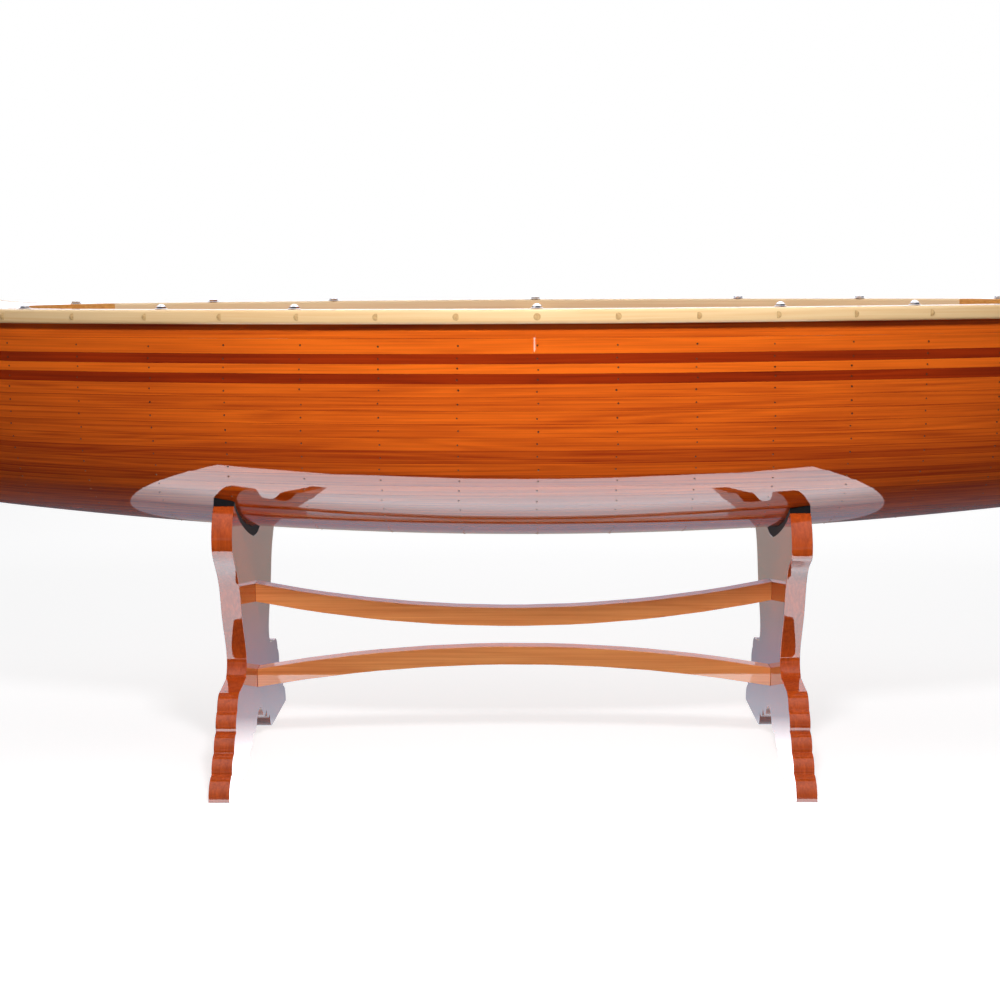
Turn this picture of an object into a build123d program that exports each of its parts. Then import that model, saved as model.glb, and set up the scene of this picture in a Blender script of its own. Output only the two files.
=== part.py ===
from build123d import *
from functools import lru_cache
import math
import os

# Small cedar-strip canoe, both ends alike, resting on its own two-board wooden display stand.
# Origin: on the floor under the middle of the canoe. +X runs along the canoe to the bow,
# +Y is port, +Z is up. Millimetres.

# ---- hull, to the outside of the planking ----
half_length = 905            # middle to the face of the stem, at the sheer
half_beam = 255              # centre line to the planking, at the sheer amidships
hull_depth = 281             # keel to sheer amidships
keel_height = 274            # floor to the planking's underside amidships
rocker = 9e-5                # keel rise = rocker * x * x
plan_power = 1.85            # fullness of the sheer line in plan
bilge_power, bilge_power_end = 5.8, 1.2     # section shape amidships, and at the stems
floor_power, floor_power_end = 1.4, 1.0
level_sheer = 600            # the sheer is level this far each way, then rises
sheer_rise, sheer_power = 84, 2.2
stem_start = 700             # the keel turns up into the stem here

# ---- planking ----
plank_thickness = 5
seam = 0.1                   # gap between neighbouring strips
flat_strip_limit = 16        # a wider strip is faired to the hull along its middle
sheer_strip_widths = (30, 17)
accent_strip_width = 11
middle_strip_width = 11
side_strip_width, side_strip_count = 15, 9
bilge_strip_width, bilge_strip_count = 19, 5
bottom_strip_width = 19
bottom_strip_count = 9       # enough to pass the keel amidships; what passes it is trimmed off

# ---- backbone ----
keel_width = 16
outer_stem_proud = 6
outer_stem_inside = 12
inner_stem_depth = 16
fit_gap = 0.1                # between wooden faces that are glued or screwed together
seating = 0.10               # between a flat face and the rail that it is bolted to

# ---- ribs and rails ----
rib_pitch, rib_count_each_way = 88, 9
rib_width, rib_thickness = 14, 4
bedding = 0.3                # clearance between curved faces
rib_bedding = 0.55           # the same between ribs and planking, which is flat within a strip
rail_height, rail_proud = 16, 2
inwale_thickness = 14
outwale_thickness, outwale_tip = 14, 9
inwale_setback = 35          # the inwales stop this far short of the stem's face

# ---- gunwale screws and the plugs over them ----
screw_radius, screw_head_radius, screw_head = 1.6, 3, 2
screw_bite = 3.6             # depth into the inwale
plug_radius, plug_depth = 4, 4.5
screw_clearance = 0.05

# ---- bolts that hang the thwart, seats and deck beams from the inwales ----
seat_middle, seat_rail_spacing = 349, 156
deck_beam_place = 597
bolt_radius, bolt_head_radius, bolt_head = 2.5, 5, 2.5
bolt_clearance = 0.1
washer_radius, washer_thickness = 7, 1
nut_flats, nut_hex_height = 10, 2.2
nut_dome_radius, nut_dome_rise = 5.4, 2.6    # of the sphere, and of its cap over the hexagon
nut_thread_depth = 3.4

# ---- thwart, seats and decks ----
thwart_width, thwart_waist, thwart_thickness = 44, 28, 12
deck_beam_width, deck_beam_thickness = 18, 9
seat_rail_width, seat_rail_thickness = 22, 12
seat_drop = 24               # spacer between the inwale and a seat rail
spacer_radius = 7
seat_half_width, seat_side_width = 128, 22
cane_lap, cane_thickness = 7, 2
deck_thickness = 8
deck_horn, deck_throat = 548, 630
deck_point_spacing = 30      # of the points that fair the deck's edge to the inwale

# ---- stand ----
stand_offset = -30           # the stand's middle, along the canoe
board_gap, board_thickness = 643, 24
cradle_half_span, pad_thickness = 160, 6
pad_keel_extra = 7           # the pad is this much thicker under the keel
stretcher_height, stretcher_width = 23, 24
upper_stretcher_end, upper_stretcher_middle = 200, 168
lower_stretcher_end, lower_stretcher_middle = 91, 119
stand_bolt_radius, stand_bolt_head_radius, stand_bolt_head = 3, 7, 4
stand_bolt_reach = 26        # into the stretcher from the board's inner face
insert_radius, insert_length = 5, 22    # threaded insert in the stretcher's end grain

keel_half = keel_width / 2
inwale_end = half_length - inwale_setback
rail_girth = (-rail_proud, rail_height - rail_proud)
inwale_outside = plank_thickness + rib_bedding + rib_thickness + bedding
rib_places = [rib_pitch * k for k in range(-rib_count_each_way, rib_count_each_way + 1)]
seat_rail_places = [side * seat_middle + along * seat_rail_spacing / 2
                    for side in (-1, 1) for along in (-1, 1)]


# ---------------------------------------------------------------- hull surface
def sheer_height(x):
    past = max(0.0, abs(x) - level_sheer) / (half_length - level_sheer)
    return keel_height + hull_depth + sheer_rise * past ** sheer_power


def keel_line(x):
    """Height of the keel, and past stem_start of the stem, at station x."""
    turn = min(1.0, max(0.0, abs(x) - stem_start) / (half_length - stem_start))
    flat = keel_height + rocker * x * x
    tip = keel_height + rocker * half_length ** 2
    return flat + (sheer_height(half_length) - tip) * (1 - math.sqrt(1 - turn * turn))


def sheer_half_breadth(x):
    return keel_half + (half_beam - keel_half) * (1 - (abs(x) / half_length) ** plan_power)


@lru_cache(maxsize=None)
def section(x):
    """Outside of the port planking at station x: points from sheer to keel, with their girths."""
    ends = (abs(x) / half_length) ** 3
    bilge = bilge_power + (bilge_power_end - bilge_power) * ends
    floor = floor_power + (floor_power_end - floor_power) * ends
    bottom, top, breadth = keel_line(x), sheer_height(x), sheer_half_breadth(x) - keel_half
    steps, points = 200, []
    for i in range(steps + 1):
        rise = (1 - i / steps) ** 2
        points.append((keel_half + breadth * (1 - (1 - rise) ** bilge) ** (1 / floor),
                       bottom + (top - bottom) * rise))
    girths = [0.0]
    for (ya, za), (yb, zb) in zip(points, points[1:]):
        girths.append(girths[-1] + math.hypot(yb - ya, zb - za))
    return points, girths


def girth_to_keel(x):
    return section(x)[1][-1]


def on_section(x, girth):
    """Point of the section at a girth below the sheer, run on straight past either end."""
    points, girths = section(x)
    i = 1
    while i < len(girths) - 1 and girths[i] < girth:
        i += 1
    (ya, za), (yb, zb) = points[i - 1], points[i]
    share = (girth - girths[i - 1]) / (girths[i] - girths[i - 1])
    return ya + (yb - ya) * share, za + (zb - za) * share


def hull_point(x, girth, depth):
    """Point at a girth below the sheer and a depth inward from the planking's outside."""
    (ya, za), (yb, zb) = on_section(x, girth - 2), on_section(x, girth + 2)
    y, z = on_section(x, girth)
    run = math.hypot(yb - ya, zb - za)
    return Vector(x, y + (zb - za) / run * depth, z - (yb - ya) / run * depth)


def run_out(girth):
    """Station where a line at this girth below the sheer meets the keel or the stem."""
    inside, outside = 0.0, float(half_length)
    while outside - inside > 0.5:
        middle = (inside + outside) / 2
        if girth_to_keel(middle) > girth:
            inside = middle
        else:
            outside = middle
    return inside


def stations(reach, spacing=75):
    count = 2 * math.ceil(reach / spacing)
    return [-reach + 2 * reach * i / count for i in range(count + 1)]


def shared_stations(reach):
    """Stations that every strip shares, two to a rib space, as far as the first past reach."""
    step = rib_pitch / 2
    half = [step * i for i in range(int((half_length - 30) / step) + 1)]
    half += [half_length - 22, half_length - 8, half_length - 2]
    last = next((i for i, x in enumerate(half) if x > reach), len(half) - 1)
    return [-x for x in reversed(half[1:last + 1])] + half[:last + 1]


def starboard(shape):
    return shape.mirror(Plane.XZ)


def both_sides(shapes):
    shapes = list(shapes)
    return shapes + [starboard(s) for s in shapes]


def save(name, shapes):
    shapes = list(shapes)
    part = shapes[0] if len(shapes) == 1 else Compound(children=shapes)
    export_step(part, f"parts/{name}.step")


def save_pair(name, shapes):
    """The same pieces for both sides of the canoe."""
    save(f"port_{name}", shapes)
    save(f"starboard_{name}", [starboard(s) for s in shapes])


def port_space(gap=fit_gap + keel_half):
    """Everything to port of the backbone."""
    size = 3 * half_length
    return Pos(0, gap + size / 2, 0) * Box(size, size, size)


def solids_of(shape):
    return [s for s in shape.solids() if s.volume > 1]


def cylinder_between(start, end, radius):
    along = end - start
    return Solid.make_cylinder(radius, along.length, Plane(origin=start, z_dir=along))


# ---------------------------------------------------------------- planking
def lofted_rail(girths, depth_a, depth_b, places, ruled=False):
    """A long piece whose corners follow the hull; a depth may be a function of x."""
    wires = []
    for x in places:
        inner = depth_b(x) if callable(depth_b) else depth_b
        corners = [(g, depth_a) for g in girths] + [(g, inner) for g in reversed(girths)]
        wires.append(Wire.make_polygon([hull_point(x, g, d) for g, d in corners]))
    return Solid.make_loft(wires, ruled=ruled)


def strip(girth, width):
    """One cedar strip from stem to stem, trimmed where it meets the backbone."""
    edges = [girth + seam / 2, girth + width - seam / 2]
    if width > flat_strip_limit:
        edges.insert(1, girth + width / 2)
    whole = lofted_rail(edges, 0, plank_thickness, shared_stations(run_out(girth)), ruled=True)
    return max(solids_of(whole & port_space()), key=lambda s: s.volume)


def strips(girth, widths):
    made = []
    for width in widths:
        made.append(strip(girth, width))
        girth += width
    return made, girth


# ---------------------------------------------------------------- fasteners of the gunwale
def screw_line(x):
    """Start on the outwale's face, and direction inward, of the screw at station x."""
    middle = rail_height / 2 - rail_proud
    outside = hull_point(x, middle, -fit_gap - outwale_width(x))
    inside = hull_point(x, middle, inwale_outside)
    return outside, (inside - outside).normalized(), (inside - outside).length


def outwale_width(x):
    return outwale_thickness + (outwale_tip - outwale_thickness) * (abs(x) / half_length) ** 3


def gunwale_screw(x, grow=0.0):
    start, along, reach = screw_line(x)
    base = start + along * plug_depth
    head_end = base + along * (screw_head + grow)
    head = cylinder_between(base - along * grow, head_end, screw_head_radius + grow)
    shank = cylinder_between(base, start + along * (reach + screw_bite + grow), screw_radius + grow)
    return head.fuse(shank).solids()[0]


def gunwale_plug(x, grow=0.0):
    start, along, _ = screw_line(x)
    return cylinder_between(start - along * grow, start + along * plug_depth, plug_radius + grow)


# ---------------------------------------------------------------- bolts from the inwales
def bolt_spot(x):
    """Where a bolt leaves the inwale: over its middle line, at the top of its slope."""
    over = hull_point(x, -rail_proud, inwale_outside + inwale_thickness / 2)
    tops = [hull_point(x + along, -rail_proud, inwale_outside + across).Z
            for along in (-washer_radius, washer_radius) for across in (0, inwale_thickness)]
    return Vector(x, over.Y, max(tops) + seating)


def under_inwale(x, half_width):
    """Height of what bears against the inwale's underside between x - and + half_width."""
    return min(hull_point(x + along, rail_girth[1], inwale_outside + across).Z
               for along in (-half_width, half_width) for across in (0, inwale_thickness)) - seating


def upright(x, y, low, high, radius):
    return Pos(x, y, (low + high) / 2) * Cylinder(radius, high - low)


def bolt_hole(x):
    spot = bolt_spot(x)
    return upright(x, spot.Y, spot.Z - 120, spot.Z + 20, bolt_radius + bolt_clearance)


def bolt(x, underside):
    """Shank up through the inwale, with its head under the piece that it carries."""
    spot = bolt_spot(x)
    top = spot.Z + washer_thickness + nut_thread_depth - 0.4
    shank = upright(x, spot.Y, underside, top, bolt_radius)
    return shank + upright(x, spot.Y, underside - bolt_head, underside, bolt_head_radius)


def washer(x):
    spot = bolt_spot(x)
    ring = upright(x, spot.Y, spot.Z, spot.Z + washer_thickness, washer_radius)
    return ring - bolt_hole(x)


def acorn_nut(x):
    spot = bolt_spot(x)
    base = spot.Z + washer_thickness
    shape = RegularPolygon(nut_flats / 2, 6, major_radius=False)
    hexagon = Pos(x, spot.Y, base) * extrude(shape, nut_hex_height)
    dome_top = base + nut_hex_height + nut_dome_rise
    dome = Pos(x, spot.Y, dome_top - nut_dome_radius) * Sphere(nut_dome_radius)
    above = Pos(x, spot.Y, base + nut_hex_height / 2 + 20) * Box(40, 40, 40)
    thread = upright(x, spot.Y, base - 1, base + nut_thread_depth, bolt_radius + bolt_clearance)
    return (hexagon + (dome & above)) - thread


def inside_half_breadth(x, height, half_width):
    """Half the room between the ribs at this height, for a piece half_width each way of x."""
    room = []
    for station in (x - half_width, x + half_width):
        girth = 0.0
        while hull_point(station, girth, inwale_outside).Z > height:
            girth += 0.5
        room.append(hull_point(station, girth, inwale_outside).Y)
    return min(room)


def cross_piece(x, top, thickness, outline):
    """A flat board across the canoe, drilled for its two bolts."""
    board = Pos(x, 0, top - thickness) * extrude(outline, thickness)
    hole = bolt_hole(x)
    return board - hole - starboard(hole)


def straight_outline(x, width, underside):
    return Rectangle(width, 2 * inside_half_breadth(x, underside, width / 2))


def thwart_outline():
    """Square at its bolted ends and waisted between them."""
    end = inside_half_breadth(0, under_inwale(0, thwart_width / 2) - thwart_thickness, thwart_width / 2)
    shoulder = end - 34
    half, waist = thwart_width / 2, thwart_waist / 2
    with BuildSketch() as outline:
        with BuildLine():
            left = Spline((-half, -shoulder), (-waist, 0), (-half, shoulder), tangents=[(0, 1), (0, 1)])
            right = Spline((half, shoulder), (waist, 0), (half, -shoulder), tangents=[(0, -1), (0, -1)])
            Polyline(left @ 1, (-half, end), (half, end), right @ 0)
            Polyline(right @ 1, (half, -end), (-half, -end), left @ 0)
        make_face()
    return outline.sketch


# ---------------------------------------------------------------- backbone
def stem_point(turn, inward):
    """Point of the bow stem: turn runs 0..90 degrees from keel to sheer, inward is across it."""
    def outside(angle):
        x = stem_start + (half_length - stem_start) * math.sin(math.radians(angle))
        return x, keel_line(x)
    (xa, za), (xb, zb) = outside(max(0, turn - 1)), outside(min(90, turn + 1))
    x, z = outside(turn)
    run = math.hypot(xb - xa, zb - za)
    return x - (zb - za) / run * inward, z + (xb - xa) / run * inward


def stem_band(outer_depth, inner_depth, first_turn, top):
    """A curved plate between two depths across the stem, cut level with the rails."""
    turns = [first_turn + (89.5 - first_turn) * i / 9 for i in range(10)]
    outer = [stem_point(t, outer_depth(t)) for t in turns]
    inner = [stem_point(t, inner_depth) for t in turns]
    over = top + 40
    with BuildSketch(Plane.XZ) as side:
        with BuildLine():
            Spline(*outer)
            Polyline(outer[-1], (outer[-1][0], over), (inner[-1][0], over), inner[-1])
            Spline(*reversed(inner))
            Line(inner[0], outer[0])
        make_face()
    plate = extrude(side.sketch, keel_half, both=True)
    below = Pos(half_length, 0, top - 500) * Box(1000, 100, 1000)
    return plate & below


def sheer_top_at_stem():
    return sheer_height(half_length - inner_stem_depth) + rail_proud


def keel_plank():
    """Flat plank that both garboards butt against."""
    reach = stem_start - 12
    wires = []
    for x in stations(reach):
        low = keel_line(x)
        wires.append(Wire.make_polygon([Vector(x, y, z) for y, z in (
            (-keel_half, low), (keel_half, low), (keel_half, low + plank_thickness),
            (-keel_half, low + plank_thickness))]))
    return Solid.make_loft(wires)


def rib_wire(station):
    """Outline of a bent rib's edge: down the port side, flat over the keel plank, up again."""
    inner_depth = plank_thickness + rib_bedding + rib_thickness
    last = girth_to_keel(station)
    while hull_point(station, last, inner_depth).Y < keel_half + 0.6:
        last -= 0.5

    def bent(depth):
        girths = [1 + (last - 1) * (1 - (1 - i / 18) ** 1.3) for i in range(19)]
        return [hull_point(station, girth, depth) for girth in girths]

    def mirrored(points):
        return [Vector(p.X, -p.Y, p.Z) for p in reversed(points)]

    outer, inner = bent(plank_thickness + rib_bedding), bent(inner_depth)
    far_outer, far_inner = mirrored(outer), mirrored(inner)
    runs = [outer, far_outer, list(reversed(far_inner)), list(reversed(inner))]
    edges = []
    for run, following in zip(runs, runs[1:] + runs[:1]):
        edges += [Edge.make_spline(run), Edge.make_line(run[-1], following[0])]
    return Wire(edges)


def rib(x):
    """A bent rib over the keel plank; beyond it, a pair of ribs either side of the stem."""
    whole = Solid.make_loft([rib_wire(x - rib_width / 2), rib_wire(x + rib_width / 2)], ruled=True)
    hole = gunwale_screw(x, screw_clearance)
    whole = whole - hole - starboard(hole)
    if abs(x) + rib_width / 2 < stem_start - 12:
        return solids_of(whole)
    half = max(solids_of(whole & port_space()), key=lambda s: s.volume)
    return [half, starboard(half)]


# ---------------------------------------------------------------- decks and seats
def deck():
    """Bow deck between the inwales, following the sheer, with a hollow after edge."""
    inside = inwale_outside + inwale_thickness + bedding
    count = math.ceil((inwale_end - deck_horn) / deck_point_spacing)
    places = [deck_horn + (inwale_end - deck_horn) * i / count for i in range(count + 1)]
    edge = [(x, max(0.5, min(hull_point(x, girth, inside).Y for girth in (-rail_proud, deck_thickness))))
            for x in places]
    with BuildSketch() as plan:
        with BuildLine():
            Spline(*edge)
            Line(edge[-1], (edge[-1][0], -edge[-1][1]))
            Spline(*[(x, -y) for x, y in reversed(edge)])
            ThreePointArc((edge[0][0], -edge[0][1]), (deck_throat, 0), edge[0])
        make_face()
    tops = [(x, sheer_height(x) + rail_proud) for x in places]
    with BuildSketch(Plane.XZ) as side:
        with BuildLine():
            Spline(*tops)
            Line(tops[-1], (tops[-1][0], tops[-1][1] - deck_thickness))
            Spline(*[(x, z - deck_thickness) for x, z in reversed(tops)])
            Line((tops[0][0], tops[0][1] - deck_thickness), tops[0])
        make_face()
    column = Pos(0, 0, keel_height + hull_depth - 50) * extrude(plan.sketch, 300)
    band = extrude(side.sketch, half_beam, both=True)
    return column & band


def seat_pieces(middle):
    """Two cross rails, two side rails between them, and the cane over the frame."""
    places = (middle - seat_rail_spacing / 2, middle + seat_rail_spacing / 2)
    level = min(under_inwale(x, spacer_radius) for x in places) - seat_drop
    underside = level - seat_rail_thickness
    rails = [cross_piece(x, level, seat_rail_thickness, straight_outline(x, seat_rail_width, underside))
             for x in places]
    length = seat_rail_spacing - seat_rail_width - 2 * fit_gap
    sides = [Pos(middle, side * (seat_half_width - seat_side_width / 2), level - seat_rail_thickness / 2)
             * Box(length, seat_side_width, seat_rail_thickness) for side in (-1, 1)]
    cane = Pos(middle, 0, level + cane_thickness / 2) * Box(
        seat_rail_spacing - seat_rail_width + 2 * cane_lap,
        2 * (seat_half_width - seat_side_width + cane_lap), cane_thickness)
    return rails, sides, cane, level


def spacer(x, level):
    spot = bolt_spot(x)
    return upright(x, spot.Y, level, under_inwale(x, spacer_radius), spacer_radius) - bolt_hole(x)


# ---------------------------------------------------------------- stand
def board_places():
    """Inner and outer face of the left board, then of the right one."""
    left, right = stand_offset - board_gap / 2, stand_offset + board_gap / 2
    return (left, left - board_thickness), (right, right + board_thickness)


def cradle_curve(x, clearance, keel_extra=0):
    """Half of the hull's section at station x, grown outward, from the keel to the arm."""
    last = girth_to_keel(x)
    curve = [Vector(x, 0, keel_line(x) - clearance - keel_extra)]
    count = 11
    first = last
    while on_section(x, first)[0] < cradle_half_span:
        first -= 1
    for i in range(count + 1):
        girth = last - 6 - (last - 6 - first) * i / count
        curve.append(hull_point(x, girth, -clearance - keel_extra * (1 - i / count) ** 2))
    return curve


def both_halves(curve):
    return [Vector(p.X, -p.Y, p.Z) for p in reversed(curve[1:])] + curve


def foot_outline(tip):
    """Port half of a stand board: edges from the arm's tip down to the middle of its arch."""
    lobes = [(150, 107), (176, 89), (188, 66), (205, 46), (224, 26), (248, 0)]
    arch = [(112, 0), (88, 20), (58, 33), (24, 40)]
    arm = [tip, (tip[0] + 15, tip[1] - 18), (tip[0] + 19, tip[1] - 50), (165, 258), (137, 224),
           (127, 195), (106, 157), (97, 133), (108, 112)]
    edges = [Edge.make_spline([Vector(*p) for p in arm]), Edge.make_line(arm[-1], lobes[0])]
    for start, end in zip(lobes, lobes[1:]):
        edges.append(bulged_arc(start, end, 0.2))
    edges.append(Edge.make_line(lobes[-1], arch[0]))
    for start, end in zip(arch, arch[1:]):
        edges.append(bulged_arc(start, end, 0.22))
    crown = (0, arch[-1][1] + 10)
    edges.append(Edge.make_three_point_arc(arch[-1], (arch[-1][0] / 2, crown[1] - 2.5), crown))
    return edges


def bulged_arc(start, end, bulge):
    """Arc from start to end that swells to its left by this share of its length."""
    (ya, za), (yb, zb) = start, end
    middle = ((ya + yb) / 2 - (zb - za) * bulge, (za + zb) / 2 + (yb - ya) * bulge)
    return Edge.make_three_point_arc(start, middle, end)


def stretcher_bolt_hole(height, grow=bolt_clearance):
    reach = board_gap + 2 * board_thickness + 2
    return Pos(stand_offset, 0, height) * Rot(0, 90, 0) * Cylinder(stand_bolt_radius + grow, reach)


def board(inner, outer):
    """One stand board, cut square to the fullest section that it carries, and drilled."""
    cut = [(p.Y, p.Z) for p in both_halves(
        cradle_curve(inner, pad_thickness + bedding + fit_gap, pad_keel_extra))]
    half = foot_outline(cut[-1])
    edges = [Edge.make_spline([Vector(*p) for p in cut])] + half + [e.mirror(Plane.YZ) for e in half]
    across = Plane(origin=(min(inner, outer), 0, 0), x_dir=(0, 1, 0), z_dir=(1, 0, 0))
    plate = extrude(across * Face(Wire(edges, sequenced=True)), board_thickness, dir=(1, 0, 0))
    return plate - stretcher_bolt_hole(upper_stretcher_end) - stretcher_bolt_hole(lower_stretcher_end)


def cradle_pad(inner, outer):
    """Felt pad: flat on the board's cradle below, shaped to the hull above."""
    def wire(x, gap):
        top = both_halves(cradle_curve(x, gap))
        under = cradle_curve(inner, pad_thickness + bedding, pad_keel_extra)
        low = [Vector(x, p.Y, p.Z) for p in both_halves(under)]
        return Wire([Edge.make_spline(top), Edge.make_line(top[-1], low[-1]),
                     Edge.make_spline(list(reversed(low))), Edge.make_line(low[0], top[0])])
    return Solid.make_loft([wire(inner, bedding), wire(outer, bedding)], ruled=True)


def stretcher(end_height, middle_height):
    """Bent rail between the boards, bored at each end for a threaded insert."""
    half, rise = board_gap / 2 - fit_gap, stretcher_height / 2
    top, low = end_height + rise, end_height - rise
    upper = Edge.make_three_point_arc((-half, top), (0, middle_height + rise), (half, top))
    lower = Edge.make_three_point_arc((half, low), (0, middle_height - rise), (-half, low))
    ends = [Edge.make_line((half, top), (half, low)), Edge.make_line((-half, low), (-half, top))]
    face = Face(Wire([upper, ends[0], lower, ends[1]], sequenced=True))
    side = Plane(origin=(stand_offset, stretcher_width / 2, 0), x_dir=(1, 0, 0), z_dir=(0, -1, 0))
    bar = extrude(side * face, stretcher_width, dir=(0, -1, 0))
    for end in (-1, 1):
        bar -= from_stretcher_end(end, end_height, insert_radius + bolt_clearance, insert_length)
        bar -= from_stretcher_end(end, end_height, stand_bolt_radius + bolt_clearance, stand_bolt_reach)
    return bar


def from_stretcher_end(end, height, radius, reach):
    """Cylinder that runs into a stretcher from its left (-1) or right (1) end face."""
    face = stand_offset + end * (board_gap / 2 - fit_gap)
    return Solid.make_cylinder(radius, reach, Plane(origin=(face, 0, height), z_dir=(-end, 0, 0)))


def stand_bolt(end, height):
    outer = stand_offset + end * (board_gap / 2 + board_thickness)
    length = board_thickness + stand_bolt_reach - 2
    inward = Plane(origin=(outer, 0, height), z_dir=(-end, 0, 0))
    shank = Solid.make_cylinder(stand_bolt_radius, length, inward)
    head = Solid.make_cylinder(stand_bolt_head_radius, stand_bolt_head,
                               Plane(origin=(outer, 0, height), z_dir=(end, 0, 0)))
    return shank.fuse(head).solids()[0]


def stretcher_insert(end, height):
    sleeve = from_stretcher_end(end, height, insert_radius, insert_length - fit_gap)
    return sleeve - from_stretcher_end(end, height, stand_bolt_radius + bolt_clearance, stand_bolt_reach)


# ---------------------------------------------------------------- write the pieces
def write_planking():
    sheer, girth = strips(0, sheer_strip_widths)
    holes = [gunwale_screw(x, screw_clearance) for x in rib_places]
    sheer[0] = max(solids_of(sheer[0] - holes), key=lambda s: s.volume)
    save_pair("sheer_strips", sheer)
    for name, width in (("upper_accent_strip", accent_strip_width), ("middle_strip", middle_strip_width),
                        ("lower_accent_strip", accent_strip_width)):
        made, girth = strips(girth, [width])
        save_pair(name, made)
    for name, width, count in (("side_strips", side_strip_width, side_strip_count),
                               ("bilge_strips", bilge_strip_width, bilge_strip_count),
                               ("bottom_strips", bottom_strip_width, bottom_strip_count)):
        room = math.ceil((girth_to_keel(0) - girth) / width)
        made, girth = strips(girth, [width] * min(count, room))
        save_pair(name, made)


def write_backbone():
    save("keel_plank", [keel_plank()])
    top = sheer_top_at_stem()
    outer = stem_band(lambda t: -outer_stem_proud * math.sin(math.radians(t)), outer_stem_inside, 0, top)
    deep = outer_stem_inside + fit_gap
    inner = stem_band(lambda t: deep, deep + inner_stem_depth, 14, top)
    for name, piece in (("outer_stem", outer), ("inner_stem", inner)):
        save(f"bow_{name}", [piece])
        save(f"stern_{name}", [piece.mirror(Plane.YZ)])


def write_ribs():
    save("ribs", [solid for x in rib_places for solid in rib(x)])


def write_rails():
    outwale = lofted_rail(rail_girth, -fit_gap, lambda x: -fit_gap - outwale_width(x),
                          stations(half_length - 4))
    inwale_inside = inwale_outside + inwale_thickness
    inwale = lofted_rail(rail_girth, inwale_outside, inwale_inside, stations(inwale_end))
    screws = [gunwale_screw(x, screw_clearance) for x in rib_places]
    plugs = [gunwale_plug(x, screw_clearance) for x in rib_places]
    outwale = max(solids_of(outwale - screws - plugs), key=lambda s: s.volume)
    bolts = [bolt_hole(x) for x in [0] + seat_rail_places + [-deck_beam_place, deck_beam_place]]
    inwale = max(solids_of((inwale & port_space(fit_gap)) - screws - bolts), key=lambda s: s.volume)
    save_pair("outwale", [outwale])
    save_pair("inwale", [inwale])
    save("gunwale_screws", both_sides(gunwale_screw(x) for x in rib_places))
    save("gunwale_plugs", both_sides(gunwale_plug(x) for x in rib_places))


def write_fittings():
    """Thwart, deck beams, decks and seats, with the bolts that carry them."""
    bolts = []
    level = under_inwale(0, thwart_width / 2)
    save("centre_thwart", [cross_piece(0, level, thwart_thickness, thwart_outline())])
    bolts.append(("thwart", [0], level - thwart_thickness))
    level = under_inwale(deck_beam_place, deck_beam_width / 2)
    underside = level - deck_beam_thickness
    for end, name in ((1, "bow"), (-1, "stern")):
        x = end * deck_beam_place
        outline = straight_outline(x, deck_beam_width, underside)
        save(f"{name}_deck_beam", [cross_piece(x, level, deck_beam_thickness, outline)])
        save(f"{name}_deck", [deck() if end > 0 else deck().mirror(Plane.YZ)])
    bolts.append(("deck_beam", [-deck_beam_place, deck_beam_place], underside))
    spacers = []
    for end, name in ((1, "bow"), (-1, "stern")):
        rails, sides, cane, level = seat_pieces(end * seat_middle)
        save(f"{name}_seat_cross_rails", rails)
        save(f"{name}_seat_side_rails", sides)
        save(f"{name}_seat_cane", [cane])
        spacers += [spacer(end * seat_middle + along * seat_rail_spacing / 2, level) for along in (-1, 1)]
    bolts.append(("seat", seat_rail_places, level - seat_rail_thickness))
    save("seat_spacers", both_sides(spacers))
    for name, places, underside in bolts:
        save(f"{name}_bolts", both_sides(bolt(x, underside) for x in places))
    every_place = [x for _, places, _ in bolts for x in places]
    save("bolt_washers", both_sides(washer(x) for x in every_place))
    save("acorn_nuts", both_sides(acorn_nut(x) for x in every_place))


def write_stand():
    for name, faces in zip(("left", "right"), board_places()):
        save(f"{name}_stand_board", [board(*faces)])
        save(f"{name}_cradle_pad", [cradle_pad(*faces)])
    heights = (upper_stretcher_end, lower_stretcher_end)
    save("upper_stretcher", [stretcher(upper_stretcher_end, upper_stretcher_middle)])
    save("lower_stretcher", [stretcher(lower_stretcher_end, lower_stretcher_middle)])
    save("stretcher_bolts", [stand_bolt(end, z) for end in (-1, 1) for z in heights])
    save("stretcher_inserts", [stretcher_insert(end, z) for end in (-1, 1) for z in heights])


os.makedirs("parts", exist_ok=True)
write_stand()
write_backbone()
write_planking()
write_rails()
write_ribs()
write_fittings()
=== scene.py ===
"""A small varnished cedar-strip canoe on its two-board display stand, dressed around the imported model."""

import math
import random

import bmesh
import bpy
from mathutils import Matrix, Vector


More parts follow.
